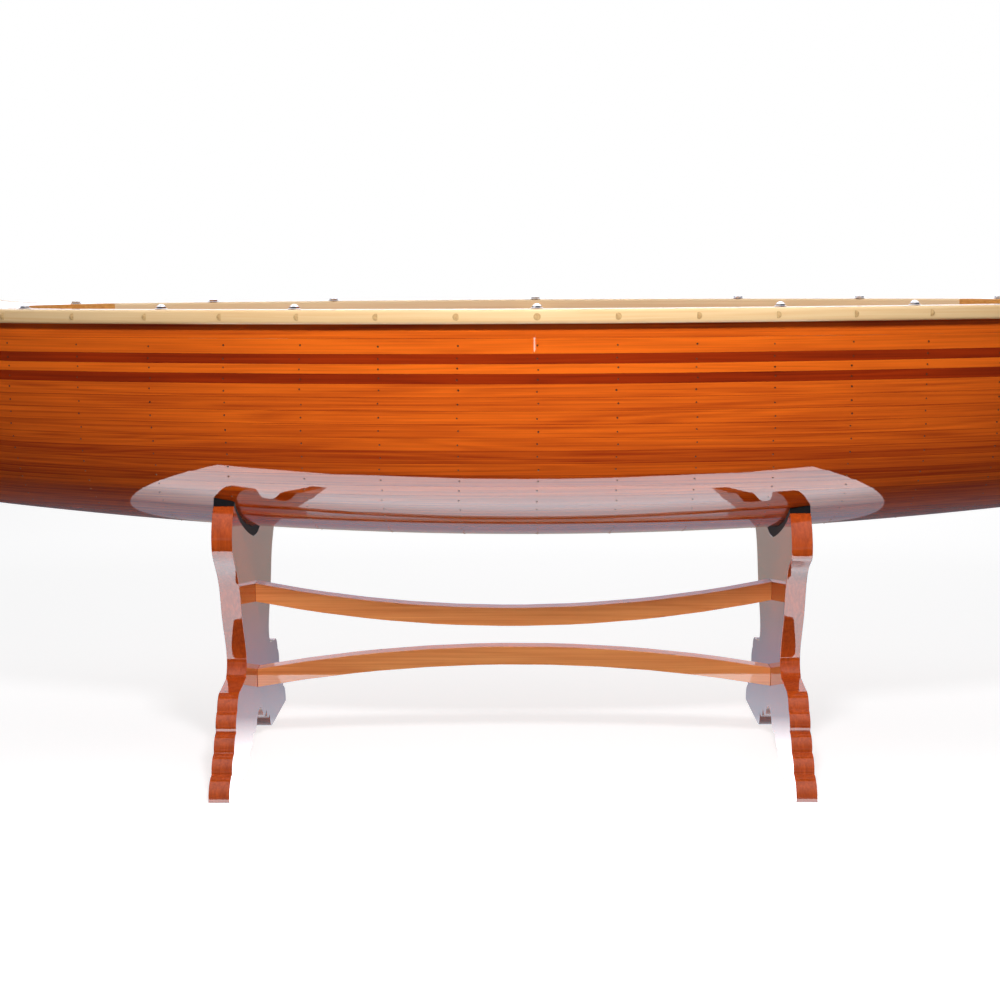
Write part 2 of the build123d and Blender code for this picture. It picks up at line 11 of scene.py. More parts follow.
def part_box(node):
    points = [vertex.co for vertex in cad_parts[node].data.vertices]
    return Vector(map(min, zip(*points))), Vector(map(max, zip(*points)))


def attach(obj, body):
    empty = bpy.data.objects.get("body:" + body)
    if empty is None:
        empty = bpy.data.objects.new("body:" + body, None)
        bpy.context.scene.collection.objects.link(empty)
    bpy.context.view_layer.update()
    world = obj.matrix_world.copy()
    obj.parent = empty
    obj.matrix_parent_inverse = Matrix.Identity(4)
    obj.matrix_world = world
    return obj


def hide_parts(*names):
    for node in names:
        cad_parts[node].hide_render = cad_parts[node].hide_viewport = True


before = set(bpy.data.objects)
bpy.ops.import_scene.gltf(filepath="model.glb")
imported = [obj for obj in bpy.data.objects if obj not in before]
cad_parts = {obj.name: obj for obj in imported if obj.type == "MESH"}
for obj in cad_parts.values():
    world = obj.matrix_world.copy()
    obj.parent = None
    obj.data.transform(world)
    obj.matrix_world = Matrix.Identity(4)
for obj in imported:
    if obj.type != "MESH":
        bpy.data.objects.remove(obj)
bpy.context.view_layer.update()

# ---------------------------------------------------------------- studio
# A white floor, a pale room behind it, one broad soft light overhead and a small key light in front.
# Varnish sees a glowing card instead of the floor: a painted reflection of a bright sheet that ends a little
# in front of the canoe and fades to a painted shadow under it, in a dim room.
def new_piece(name, mesh):
    piece = bpy.data.objects.new(name, mesh)
    bpy.context.collection.objects.link(piece)
    return piece


def level_mesh(name, left, right, front, back, height):
    """One level rectangle, facing up."""
    mesh = bpy.data.meshes.new(name)
    outline = ((left, front), (right, front), (right, back), (left, back))
    mesh.from_pydata([(x, y, height) for x, y in outline], [], [(0, 1, 2, 3)])
    return mesh


def add_ramp(nodes, stops):
    """A colour ramp through (position, colour) stops, in order."""
    ramp = nodes.new("ShaderNodeValToRGB")
    points = ramp.color_ramp.elements
    points[0].position, points[1].position = stops[0][0], stops[-1][0]
    for position, _ in stops[1:-1]:
        points.new(position)
    for point, (_, color) in zip(points, stops):
        point.color = (*color, 1)
    return ramp


def set_inputs(node, **values):
    for label, value in values.items():
        node.inputs[label.replace("_", " ")].default_value = value


floor_reach = 9.0
studio_floor = new_piece("studio_floor", level_mesh("studio_floor", -floor_reach, floor_reach,
                                                    -floor_reach, floor_reach, 0))
floor_paint = bpy.data.materials.new("floor_paint")
floor_paint.use_nodes = True
floor_nodes, floor_links = floor_paint.node_tree.nodes, floor_paint.node_tree.links
floor_body = floor_nodes["Principled BSDF"]
set_inputs(floor_body, Base_Color=(0.45, 0.45, 0.46, 1), Specular_IOR_Level=0.0, Roughness=0.6,
           Emission_Color=(1, 1, 1, 1))
floor_glow = floor_nodes.new("ShaderNodeMath")
floor_glow.operation = "MULTIPLY"
floor_glow.inputs[1].default_value = 0.75
floor_ray = floor_nodes.new("ShaderNodeLightPath")
floor_links.new(floor_ray.outputs["Is Camera Ray"], floor_glow.inputs[0])
floor_links.new(floor_glow.outputs[0], floor_body.inputs["Emission Strength"])
studio_floor.data.materials.append(floor_paint)
studio_floor.visible_glossy = False

floor_card = new_piece("floor_card", level_mesh("floor_card", -0.64, 0.54, -0.43, 6.0, 0.0004))
card_glow = bpy.data.materials.new("card_glow")
card_glow.use_nodes = True
card_nodes, card_links = card_glow.node_tree.nodes, card_glow.node_tree.links
card_body = card_nodes["Principled BSDF"]
set_inputs(card_body, Base_Color=(0, 0, 0, 1), Emission_Strength=5.6)
card_place, card_axes = card_nodes.new("ShaderNodeTexCoord"), card_nodes.new("ShaderNodeSeparateXYZ")
card_depth = card_nodes.new("ShaderNodeMapRange")
set_inputs(card_depth, From_Min=-0.5, From_Max=1.5)
# Painted reflection and painted shadow: the card glows bright in front of the canoe and dims under and behind
# it, standing for the floor in the canoe's shadow.
card_glow_and_painted_shadow = add_ramp(card_nodes, (
    (0.12, (0.82, 0.93, 1.0)), (0.20, (0.72, 0.80, 0.86)), (0.25, (0.38, 0.38, 0.40)),
    (0.325, (0.10, 0.11, 0.13)), (0.50, (0.042, 0.046, 0.062)), (0.80, (0.045, 0.040, 0.031))))
card_links.new(card_place.outputs["Object"], card_axes.inputs[0])
card_links.new(card_axes.outputs["Y"], card_depth.inputs["Value"])
card_links.new(card_depth.outputs[0], card_glow_and_painted_shadow.inputs[0])
card_links.new(card_glow_and_painted_shadow.outputs[0], card_body.inputs["Emission Color"])
floor_card.data.materials.append(card_glow)
for ray in ("visible_camera", "visible_diffuse", "visible_shadow", "visible_transmission"):
    setattr(floor_card, ray, False)

room = bpy.data.worlds.new("pale_room")
bpy.context.scene.world = room
room.use_nodes = True
room_nodes, room_links = room.node_tree.nodes, room.node_tree.links
room_nodes.clear()
room_out = room_nodes.new("ShaderNodeOutputWorld")
room_pick = room_nodes.new("ShaderNodeMixShader")
seen_room = room_nodes.new("ShaderNodeBackground")
seen_room.inputs["Color"].default_value = (1, 1, 1, 1)
room_ray = room_nodes.new("ShaderNodeLightPath")
room_light = room_nodes.new("ShaderNodeMapRange")
set_inputs(room_light, To_Min=0.08)
room_links.new(room_ray.outputs["Is Camera Ray"], room_light.inputs["Value"])
room_links.new(room_light.outputs[0], seen_room.inputs["Strength"])
mirrored_room = room_nodes.new("ShaderNodeBackground")
sky_direction = room_nodes.new("ShaderNodeTexCoord")
sky_parts = room_nodes.new("ShaderNodeSeparateXYZ")
sky_rise = add_ramp(room_nodes, (
    (0.488, (0.03, 0.03, 0.035)), (0.505, (0.42, 0.42, 0.45)), (0.54, (0.34, 0.34, 0.38)),
    (0.60, (0.14, 0.14, 0.18)), (0.72, (0.30, 0.30, 0.32)), (0.95, (0.9, 0.9, 0.92))))
sky_height = room_nodes.new("ShaderNodeMapRange")
set_inputs(sky_height, From_Min=-1.0)
room_links.new(sky_direction.outputs["Generated"], sky_parts.inputs[0])
room_links.new(sky_parts.outputs["Z"], sky_height.inputs["Value"])
room_links.new(sky_height.outputs[0], sky_rise.inputs[0])
room_behind = room_nodes.new("ShaderNodeMapRange")
set_inputs(room_behind, From_Min=0.2, From_Max=0.8, To_Min=1.0, To_Max=4.5)
room_links.new(sky_parts.outputs["Y"], room_behind.inputs["Value"])
room_links.new(sky_rise.outputs[0], mirrored_room.inputs["Color"])
room_links.new(room_behind.outputs[0], mirrored_room.inputs["Strength"])
room_links.new(room_ray.outputs["Is Glossy Ray"], room_pick.inputs[0])
room_links.new(seen_room.outputs[0], room_pick.inputs[1])
room_links.new(mirrored_room.outputs[0], room_pick.inputs[2])
room_links.new(room_pick.outputs[0], room_out.inputs["Surface"])


def soft_light(name, place, aim, size, power, glossy=True):
    """A square soft box at a place, turned towards aim."""
    lamp = bpy.data.lights.new(name, "AREA")
    lamp.shape, lamp.size, lamp.size_y = "RECTANGLE", size[0], size[1]
    lamp.energy = power
    box = new_piece(name, lamp)
    box.location = place
    box.rotation_euler = (Vector(aim) - Vector(place)).to_track_quat("-Z", "Y").to_euler()
    box.visible_glossy = glossy


soft_light("overhead_light", (0.0, -0.3, 2.9), (0, 0.1, 0.3), (3.4, 2.2), 24, glossy=False)
soft_light("front_key", (0.02, -1.25, 1.15), (0.02, -0.25, 0.45), (0.16, 0.16), 15.5, glossy=False)
soft_light("front_fill", (0.6, -3.2, 1.1), (0, 0, 0.35), (2.2, 1.4), 1.5, glossy=False)
soft_light("front_glint", (-0.01, -2.6, 0.41), (0.0, -0.27, 0.52), (0.012, 0.035), 0.012)
soft_light("back_fill", (0.2, 3.2, 1.8), (0, 0, 0.35), (2.2, 1.4), 30, glossy=False)
bpy.context.scene.view_settings.view_transform = "Standard"

camera_data = bpy.data.cameras.new("standing_view")
camera_data.sensor_width, camera_data.lens = 36.0, 66.9
camera = new_piece("standing_view", camera_data)
camera.location = (-0.009, -2.294, 0.611)
heading, dip, lean = 0.918, 7.38, -0.34
camera.rotation_euler = (Matrix.Rotation(math.radians(heading), 4, "Z")
                         @ Matrix.Rotation(math.radians(90 - dip), 4, "X")
                         @ Matrix.Rotation(math.radians(lean), 4, "Z")).to_euler()
bpy.context.scene.camera = camera

# ---------------------------------------------------------------- hull lines
# The canoe is built over a form: its lines are a level sheer that sweeps up to rounded stems,
# full sections amidships and sharp ones at the ends. Every bent piece below follows them.
half_length, half_beam = 0.905, 0.255
keel_height, hull_depth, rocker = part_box("keel_plank")[0][2], 0.281, 0.09
plan_power = 1.85
bilge_power, bilge_power_end = 5.8, 1.2
floor_power, floor_power_end = 1.4, 1.0
level_sheer, sheer_rise, sheer_power = 0.600, 0.084, 2.2
stem_start = 0.700
keel_half = 0.008
section_steps, slope_step = 160, 0.002
known_sections = {}


def sheer_height(x):
    past = max(0.0, abs(x) - level_sheer) / (half_length - level_sheer)
    return keel_height + hull_depth + sheer_rise * past ** sheer_power


def keel_line(x):
    turn = min(1.0, max(0.0, abs(x) - stem_start) / (half_length - stem_start))
    flat = keel_height + rocker * x * x
    tip = keel_height + rocker * half_length ** 2
    return flat + (sheer_height(half_length) - tip) * (1 - math.sqrt(1 - turn * turn))


def sheer_half_breadth(x):
    return keel_half + (half_beam - keel_half) * (1 - min(1.0, abs(x) / half_length) ** plan_power)


def section(x):
    """Points of the port planking's outside at station x, from sheer to keel, with their girths."""
    key = round(abs(x), 6)
    if key not in known_sections:
        ends = (key / half_length) ** 3
        bilge = bilge_power + (bilge_power_end - bilge_power) * ends
        floor = floor_power + (floor_power_end - floor_power) * ends
        bottom, top, breadth = keel_line(key), sheer_height(key), sheer_half_breadth(key) - keel_half
        points = []
        for i in range(section_steps + 1):
            rise = (1 - i / section_steps) ** 2
            points.append((keel_half + breadth * (1 - (1 - rise) ** bilge) ** (1 / floor),
                           bottom + (top - bottom) * rise))
        girths = [0.0]
        for (ya, za), (yb, zb) in zip(points, points[1:]):
            girths.append(girths[-1] + math.hypot(yb - ya, zb - za))
        known_sections[key] = points, girths
    return known_sections[key]


def on_section(x, girth):
    points, girths = section(x)
    low, high = 1, len(girths) - 1
    while low < high:
        middle = (low + high) // 2
        if girths[middle] < girth:
            low = middle + 1
        else:
            high = middle
    (ya, za), (yb, zb) = points[low - 1], points[low]
    share = (girth - girths[low - 1]) / (girths[low] - girths[low - 1])
    return ya + (yb - ya) * share, za + (zb - za) * share


def hull_point(x, girth, depth):
    """Point at a girth below the sheer and a depth inward from the planking's outside."""
    (ya, za), (yb, zb) = on_section(x, girth - slope_step), on_section(x, girth + slope_step)
    y, z = on_section(x, girth)
    run = math.hypot(yb - ya, zb - za)
    return Vector((x, y + (zb - za) / run * depth, z - (yb - ya) / run * depth))


def girth_to_keel(x):
    return section(x)[1][-1]


def run_out(girth):
    """Station where a line at this girth below the sheer meets the keel or the stem."""
    inside, outside = 0.0, half_length - 0.001
    while outside - inside > 0.0005:
        middle = (inside + outside) / 2
        if girth_to_keel(middle) > girth:
            inside = middle
        else:
            outside = middle
    return inside


def to_starboard(mesh):
    """A mirrored copy of a port mesh, with its faces turned to point outward again."""
    other = mesh.copy()
    other.transform(Matrix.Scale(-1, 4, (0, 1, 0)))
    other.flip_normals()
    return other


def finish_piece(piece, finish, slot, body, *nodes):
    """Gives a piece its material and its body, and hides the CAD nodes that it stands for; its slot is not
    used.
    """
    piece.data.materials.clear()
    piece.data.materials.append(finish)
    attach(piece, body)
    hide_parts(*nodes)


# ---------------------------------------------------------------- wood and varnish
# Every wooden piece is straight-grained and brushed with several coats of clear gloss varnish.
# The grain group colours and roughens the wood under the varnish; each material has its own timber.
def new_group(name, sockets_in, sockets_out):
    group = bpy.data.node_groups.new(name, "ShaderNodeTree")
    for label, kind, value in sockets_in:
        socket = group.interface.new_socket(label, in_out="INPUT", socket_type=kind)
        if value is not None:
            socket.default_value = value
    for label, kind in sockets_out:
        group.interface.new_socket(label, in_out="OUTPUT", socket_type=kind)
    return group, group.nodes.new("NodeGroupInput"), group.nodes.new("NodeGroupOutput")


def add_math(tree, kind, first, second=None, third=None, clamp=False):
    node = tree.nodes.new("ShaderNodeMath")
    node.operation, node.use_clamp = kind, clamp
    for socket, value in zip(node.inputs, (first, second, third)):
        if value is None:
            continue
        if isinstance(value, (int, float)):
            socket.default_value = value
        else:
            tree.links.new(value, socket)
    return node.outputs[0]


def add_noise(tree, place, scale, detail, roughness, distortion=0.0):
    noise = tree.nodes.new("ShaderNodeTexNoise")
    set_inputs(noise, Scale=scale, Detail=detail, Roughness=roughness, Distortion=distortion)
    tree.links.new(place, noise.inputs["Vector"])
    return noise.outputs["Fac"]


def add_stretch(tree, place, amounts):
    stretch = tree.nodes.new("ShaderNodeVectorMath")
    stretch.operation = "MULTIPLY"
    stretch.inputs[1].default_value = amounts
    tree.links.new(place, stretch.inputs[0])
    return stretch.outputs[0]


def add_mix(tree, share, first, second, kind="MIX"):
    mix = tree.nodes.new("ShaderNodeMix")
    mix.data_type, mix.blend_type = "RGBA", kind
    for socket, value in zip((mix.inputs[0], mix.inputs[6], mix.inputs[7]), (share, first, second)):
        if isinstance(value, (int, float, tuple)):
            socket.default_value = value
        else:
            tree.links.new(value, socket)
    return mix.outputs[2]


grain_group, grain_in, grain_out = new_group(
    "straight_grain",
    [("Place", "NodeSocketVector", None), ("Pale", "NodeSocketColor", (0.8, 0.4, 0.1, 1)),
     ("Dark", "NodeSocketColor", (0.4, 0.15, 0.04, 1)), ("Figure", "NodeSocketFloat", 0.5),
     ("Tone", "NodeSocketFloat", 0.5)],
    [("Color", "NodeSocketColor"), ("Roughness", "NodeSocketFloat"), ("Height", "NodeSocketFloat")])
grain_place, grain_figure = grain_in.outputs["Place"], grain_in.outputs["Figure"]
fine_lines = add_noise(grain_group, add_stretch(grain_group, grain_place, (5, 420, 420)), 1.0, 5, 0.62)
growth = add_noise(grain_group, add_stretch(grain_group, grain_place, (1.7, 34, 34)), 1.0, 2, 0.45, 0.4)
cloud = add_noise(grain_group, add_stretch(grain_group, grain_place, (4.5, 22, 22)), 1.0, 3, 0.5)
rings = add_math(grain_group, "SINE", add_math(grain_group, "MULTIPLY", growth, 46.0))
ring_share = add_math(grain_group, "MULTIPLY", rings, 0.17)
line_share = add_math(grain_group, "MULTIPLY", add_math(grain_group, "SUBTRACT", fine_lines, 0.5), 2.2)
cloud_share = add_math(grain_group, "MULTIPLY", add_math(grain_group, "SUBTRACT", cloud, 0.5), 0.7)
figure_sum = add_math(grain_group, "ADD", add_math(grain_group, "ADD", ring_share, line_share), cloud_share)
shade = add_math(grain_group, "MULTIPLY_ADD", figure_sum, grain_figure, grain_in.outputs["Tone"], clamp=True)
grain_color = add_mix(grain_group, shade, grain_in.outputs["Dark"], grain_in.outputs["Pale"])
grain_dull = add_math(grain_group, "MULTIPLY_ADD", fine_lines, 0.16, 0.26)
for result, label in ((grain_color, "Color"), (grain_dull, "Roughness"), (fine_lines, "Height")):
    grain_group.links.new(result, grain_out.inputs[label])


def varnished_wood(name, pale, dark, figure=0.5, tone=0.5, along=(1, 0, 0), coat=1.0, tone_from=None,
                   uv_map=None, coat_ior=1.6):
    """Clear-coated timber, its grain running along an axis of the piece, or along a map of its own."""
    finish = bpy.data.materials.new(name)
    finish.use_nodes = True
    tree = finish.node_tree
    wood = tree.nodes["Principled BSDF"]
    set_inputs(wood, Coat_Weight=coat, Coat_Roughness=0.018, Coat_IOR=coat_ior, Specular_IOR_Level=0.0)
    grain = tree.nodes.new("ShaderNodeGroup")
    grain.node_tree = grain_group
    set_inputs(grain, Pale=(*pale, 1), Dark=(*dark, 1), Figure=figure, Tone=tone)
    if uv_map:
        place = tree.nodes.new("ShaderNodeUVMap")
        place.uv_map = uv_map
        tree.links.new(place.outputs[0], grain.inputs["Place"])
    else:
        place = tree.nodes.new("ShaderNodeTexCoord")
        turn = tree.nodes.new("ShaderNodeMapping")
        turn.inputs["Rotation"].default_value = (0, math.radians(90), 0) if along[2] else (
            (0, 0, math.radians(90)) if along[1] else (0, 0, 0))
        tree.links.new(place.outputs["Object"], turn.inputs[0])
        tree.links.new(turn.outputs[0], grain.inputs["Place"])
    if tone_from:
        piece_tone = tree.nodes.new("ShaderNodeAttribute")
        piece_tone.attribute_name = tone_from
        tree.links.new(piece_tone.outputs["Fac"], grain.inputs["Tone"])
    bump = tree.nodes.new("ShaderNodeBump")
    set_inputs(bump, Strength=0.05, Distance=0.0004)
    tree.links.new(grain.outputs["Height"], bump.inputs["Height"])
    tree.links.new(bump.outputs[0], wood.inputs["Normal"])
    tree.links.new(grain.outputs["Color"], wood.inputs["Base Color"])
    tree.links.new(grain.outputs["Roughness"], wood.inputs["Roughness"])
    return finish


# ---------------------------------------------------------------- planking
# Each side is 27 cedar strips, bent from stem to stem over the ribs and edge-glued, with two dark
# strips let in below the rail. Glue darkens a strip's long edges, and a painted shade darkens the
# wood just under the rail, standing for the rail's shadow. A strip ends where it meets the keel plank.
strip_thickness, strip_seam, seam_stain, seam_tone = 0.005, 0.0001, 0.0005, -0.35
# Painted shade for the rail's shadow: the strip tone drops by this much down to this girth below the sheer.
under_rail, under_rail_painted_shade = 0.020, -0.55
sheer_strips, accent_strip, middle_strip = (0.030, 0.017), 0.011, 0.011
side_strips, bilge_strip = (0.015,) * 9, 0.019
station_step, strip_overrun, strip_tip_gap, keel_seam = 0.012, 0.010, 0.002, 0.0001
sharp_seam = 0.5


def strip_stations(reach):
    steps = math.ceil(reach / station_step)
    half = [reach * i / steps for i in range(steps + 1)]
    return [-x for x in reversed(half[1:])] + half


def strip_ring(width):
    """Cross-section of a strip as (girth from its upper edge, depth, change of tone)."""
    low, high = strip_seam / 2, width - strip_seam / 2
    inner = [low + seam_stain + (high - low - 2 * seam_stain) * k / 4 for k in range(5)]
    outside = [(low, 0.0, seam_tone)] + [(g, 0.0, 0.0) for g in inner] + [(high, 0.0, seam_tone)]
    return outside + [(g, strip_thickness, change) for g, _, change in reversed(outside)]


def add_strip(cloth, girth, width, tone, chance):
    """Adds one strip to a bmesh, trimmed at the keel plank and stems and closed there."""
    ring = strip_ring(width)
    reach = min(run_out(girth) + strip_overrun, half_length - strip_tip_gap)
    shift = chance.uniform(0, 3.0)
    uv, tone_layer = cloth.loops.layers.uv["grain"], cloth.verts.layers.float["strip_tone"]
    rows, layout = [], []
    for x in strip_stations(reach):
        rows.append([cloth.verts.new(hull_point(x, girth + g, d)) for g, d, _ in ring])
        layout.append([(x + shift, girth + g + shift) for g, _, _ in ring])
        for corner, (g, _, change) in zip(rows[-1], ring):
            # painted shade: wood within under_rail of the sheer is darkened, standing for the rail's shadow
            corner[tone_layer] = tone + change + (under_rail_painted_shade if girth + g < under_rail else 0.0)
    faces = []
    for a, b, ua, ub in zip(rows, rows[1:], layout, layout[1:]):
        for i in range(len(ring)):
            j = (i + 1) % len(ring)
            face = cloth.faces.new((a[i], b[i], b[j], a[j]))
            for loop, place in zip(face.loops, (ua[i], ub[i], ub[j], ua[j])):
                loop[uv].uv = place
            faces.append(face)
    faces.append(cloth.faces.new(list(reversed(rows[-1]))))
    faces.append(cloth.faces.new(rows[0]))
    corners = [v for row in rows for v in row]
    edges = list({e for f in faces for e in f.edges})
    cut = bmesh.ops.bisect_plane(cloth, geom=corners + edges + faces, plane_co=(0, keel_half + keel_seam, 0),
                                 plane_no=(0, -1, 0), clear_outer=True)
    rims = [e for e in cut["geom_cut"] if isinstance(e, bmesh.types.BMEdge)]
    bmesh.ops.holes_fill(cloth, edges=rims, sides=0)


def strip_mesh(name, girth, widths, tones, seed):
    cloth = bmesh.new()
    cloth.loops.layers.uv.new("grain")
    cloth.verts.layers.float.new("strip_tone")
    chance = random.Random(seed)
    for width in widths:
        add_strip(cloth, girth, width, chance.uniform(*tones), chance)
        girth += width
    for face in cloth.faces:
        face.smooth = True
    bmesh.ops.recalc_face_normals(cloth, faces=cloth.faces)
    for edge in cloth.edges:
        edge.smooth = edge.calc_face_angle(0.0) < sharp_seam
    mesh = bpy.data.meshes.new(name)
    cloth.to_mesh(mesh)
    cloth.free()
    return mesh


cedar = varnished_wood("orange_cedar", (0.90, 0.160, 0.010), (0.34, 0.032, 0.004), figure=0.62,
                       uv_map="grain", tone_from="strip_tone")
dark_cedar = varnished_wood("dark_cedar", (0.47, 0.040, 0.002), (0.16, 0.012, 0.002), figure=0.6,
                            uv_map="grain", tone_from="strip_tone")
bottom_start = sum(sheer_strips) + 2 * accent_strip + middle_strip + sum(side_strips)
bilge_strips = (bilge_strip,) * 5
bottom_room = girth_to_keel(0) - bottom_start - sum(bilge_strips)
bottom_strips = (bilge_strip,) * math.ceil(bottom_room / bilge_strip)
# Each strip's tone is drawn at random within its range. The ranges are lighter for the strips near the sheer
# and darker from the side strips down: partly the strips' own varied colour, partly painted shade for light
# falling from above.
planking = [("sheer_strips", sheer_strips, cedar, "cedar", (0.66, 0.84)),
            ("upper_accent_strip", (accent_strip,), dark_cedar, "accent_cedar", (0.5, 0.5)),
            ("middle_strip", (middle_strip,), cedar, "cedar", (0.86, 0.86)),
            ("lower_accent_strip", (accent_strip,), dark_cedar, "accent_cedar", (0.45, 0.45)),
            ("side_strips", side_strips, cedar, "cedar", (0.20, 0.64)),
            ("bilge_strips", bilge_strips, cedar, "cedar", (0.22, 0.62)),
            ("bottom_strips", bottom_strips, cedar, "cedar", (0.22, 0.62))]
plank_girth = 0.0
seam_girths = []
for plank_number, (plank_name, widths, timber, timber_slot, tones) in enumerate(planking):
    port_mesh = strip_mesh(f"port_{plank_name}_bent", plank_girth, widths, tones, 11 + plank_number)
    for width in widths:
        seam_girths.append((plank_girth, width))
        plank_girth += width
    for side, mesh in (("port", port_mesh), ("starboard", to_starboard(port_mesh))):
        finish_piece(new_piece(f"{side}_{plank_name}_bent", mesh), timber, timber_slot, "canoe",
                     f"{side}_{plank_name}")

# ---------------------------------------------------------------- rails
# A pale maple outwale and inwale are bent along each side and clamp the planking and rib heads
# between them. Their long edges are rounded over; the outwale thins a little towards the stems.
rail_proud, rail_height = 0.002, 0.016
rib_bedding, rib_thickness, rail_bedding = 0.00055, 0.004, 0.0003
inwale_outside = strip_thickness + rib_bedding + rib_thickness + rail_bedding
inwale_thickness, inwale_end = 0.014, half_length - 0.035
outwale_thickness, outwale_tip, outwale_gap, plug_proud = 0.014, 0.009, 0.0001, 0.0002
outwale_end = half_length - 0.004


def outwale_width(x):
    return outwale_thickness + (outwale_tip - outwale_thickness) * (abs(x) / half_length) ** 3


def rounded_ring(girth_a, girth_b, depth_a, depth_b, radii, steps=4):
    """Rounded rectangle of (girth, depth) points; radii are for its four corners in turn."""
    corners = [(girth_a, depth_a, 1, 1), (girth_b, depth_a, -1, 1), (girth_b, depth_b, -1, -1),
               (girth_a, depth_b, 1, -1)]
    ring = []
    for (g, d, into_g, into_d), radius, turned in zip(corners, radii, (180, 270, 0, 90)):
        for k in range(steps + 1):
            angle = math.radians(turned + 90 * k / steps)
            ring.append((g + into_g * radius + radius * math.cos(angle),
                         d + into_d * radius + radius * math.sin(angle)))
    return ring


def swept_mesh(name, rows, layout):
    """Closed tube through rings of points, with a grain map laid out alike."""
    cloth = bmesh.new()
    uv = cloth.loops.layers.uv.new("grain")
    made = [[cloth.verts.new(p) for p in row] for row in rows]
    for a, b, ua, ub in zip(made, made[1:], layout, layout[1:]):
        for i in range(len(a)):
            j = (i + 1) % len(a)
            face = cloth.faces.new((a[i], b[i], b[j], a[j]))
            face.smooth = True
            for loop, place in zip(face.loops, (ua[i], ub[i], ub[j], ua[j])):
                loop[uv].uv = place
    cloth.faces.new(made[0])
    cloth.faces.new(list(reversed(made[-1])))
    bmesh.ops.recalc_face_normals(cloth, faces=cloth.faces)
    mesh = bpy.data.meshes.new(name)
    cloth.to_mesh(mesh)
    cloth.free()
    return mesh


def rail_mesh(name, ring_at, reach, keep_to_side):
    rows, layout = [], []
    for x in strip_stations(reach):
        ring = ring_at(x)
        row = [hull_point(x, g, d) for g, d in ring]
        if keep_to_side:
            row = [Vector((p.x, max(p.y, 0.0002), p.z)) for p in row]
        rows.append(row)
        layout.append([(x, g + d) for g, d in ring])
    return swept_mesh(name, rows, layout)


def outwale_ring(x):
    outside = plug_proud - outwale_gap - outwale_width(x)
    return rounded_ring(-rail_proud, rail_height - rail_proud, outside, -outwale_gap,
                        (0.0035, 0.0035, 0.0008, 0.0008))


def inwale_ring(x):
    return rounded_ring(-rail_proud, rail_height - rail_proud, inwale_outside,
                        inwale_outside + inwale_thickness, (0.0006, 0.0006, 0.003, 0.003))


pale_maple = varnished_wood("pale_maple", (0.93, 0.69, 0.39), (0.78, 0.44, 0.17), figure=0.42, tone=0.62,
                            uv_map="grain", coat_ior=1.5)
rail_maple = varnished_wood("rail_maple", (0.94, 0.73, 0.46), (0.76, 0.48, 0.24), figure=0.42, tone=0.58,
                            uv_map="grain", coat_ior=1.5)
for rail, ring_at, reach, inner, timber, rail_slot in (
        ("outwale", outwale_ring, outwale_end, False, pale_maple, "pale_maple"),
        ("inwale", inwale_ring, inwale_end, True, rail_maple, "rail_maple")):
    port_mesh = rail_mesh(f"port_{rail}_rounded", ring_at, reach, inner)
    for side, mesh in (("port", port_mesh), ("starboard", to_starboard(port_mesh))):
        rail_piece = new_piece(f"{side}_{rail}_rounded", mesh)
        finish_piece(rail_piece, timber, rail_slot, "canoe", f"{side}_{rail}")

# ---------------------------------------------------------------- ribs
# Thin bent ribs cross the boat every 88 mm, from rail to rail over the keel plank. Past the turn of
# the stems each is a pair. Their inner edges are eased.
rib_pitch, rib_width, ribs_each_way = 0.088, 0.014, 9
rib_places = [rib_pitch * k for k in range(-ribs_each_way, ribs_each_way + 1)]
rib_steps, whole_rib_margin = 34, 0.012


def rib_rows(x, sign=1):
    """Rings along one side of a rib, from the rail down to the keel plank."""
    ease, top = 0.001, 0.001
    outer = strip_thickness + rib_bedding
    inner = outer + rib_thickness
    last = girth_to_keel(abs(x) + rib_width / 2)
    while hull_point(abs(x) + rib_width / 2, last, inner).y < keel_half + 0.0006:
        last -= 0.0005
    half = rib_width / 2
    ring = [(-half, outer), (half, outer), (half, inner - ease), (half - ease, inner),
            (-half + ease, inner), (-half, inner - ease)]
    rows = []
    for i in range(rib_steps + 1):
        girth = top + (last - top) * (1 - (1 - i / rib_steps) ** 1.4)
        row = [hull_point(x + along, girth, depth) for along, depth in ring]
        rows.append([Vector((p.x, sign * p.y, p.z)) for p in row])
    return rows


def rib_meshes(x):
    port = rib_rows(x)
    starboard_side = list(reversed(rib_rows(x, -1)))
    whole = abs(x) + rib_width / 2 < stem_start - whole_rib_margin
    runs = [port + starboard_side] if whole else [port, starboard_side]
    for run in runs:
        layout = [[(0.009 * k, 0.004 * i + 7 * x) for i in range(len(run[0]))] for k in range(len(run))]
        yield swept_mesh("rib", run, layout)


def joined(name, meshes):
    """One mesh made of several, with their grain maps kept."""
    cloth = bmesh.new()
    cloth.loops.layers.uv.new("grain")
    for mesh in meshes:
        cloth.from_mesh(mesh)
    whole = bpy.data.meshes.new(name)
    cloth.to_mesh(whole)
    cloth.free()
    return whole


bent_ash = varnished_wood("bent_ash", (0.74, 0.40, 0.15), (0.42, 0.18, 0.055), figure=0.5, tone=0.55,
                          uv_map="grain", coat_ior=1.5)
rib_set = new_piece("bent_ribs", joined("bent_ribs", [m for x in rib_places for m in rib_meshes(x)]))
finish_piece(rib_set, bent_ash, "rib_wood", "canoe", "ribs")

# ---------------------------------------------------------------- backbone, beams and seat frames
# Sawn hardwood pieces: keel plank, stems, thwart, deck beams, seat rails and their spacers. They are
# cut square and then sanded, so every arris is rounded by a millimetre or two.
flat_within, arris_over = math.radians(1.2), math.radians(38)


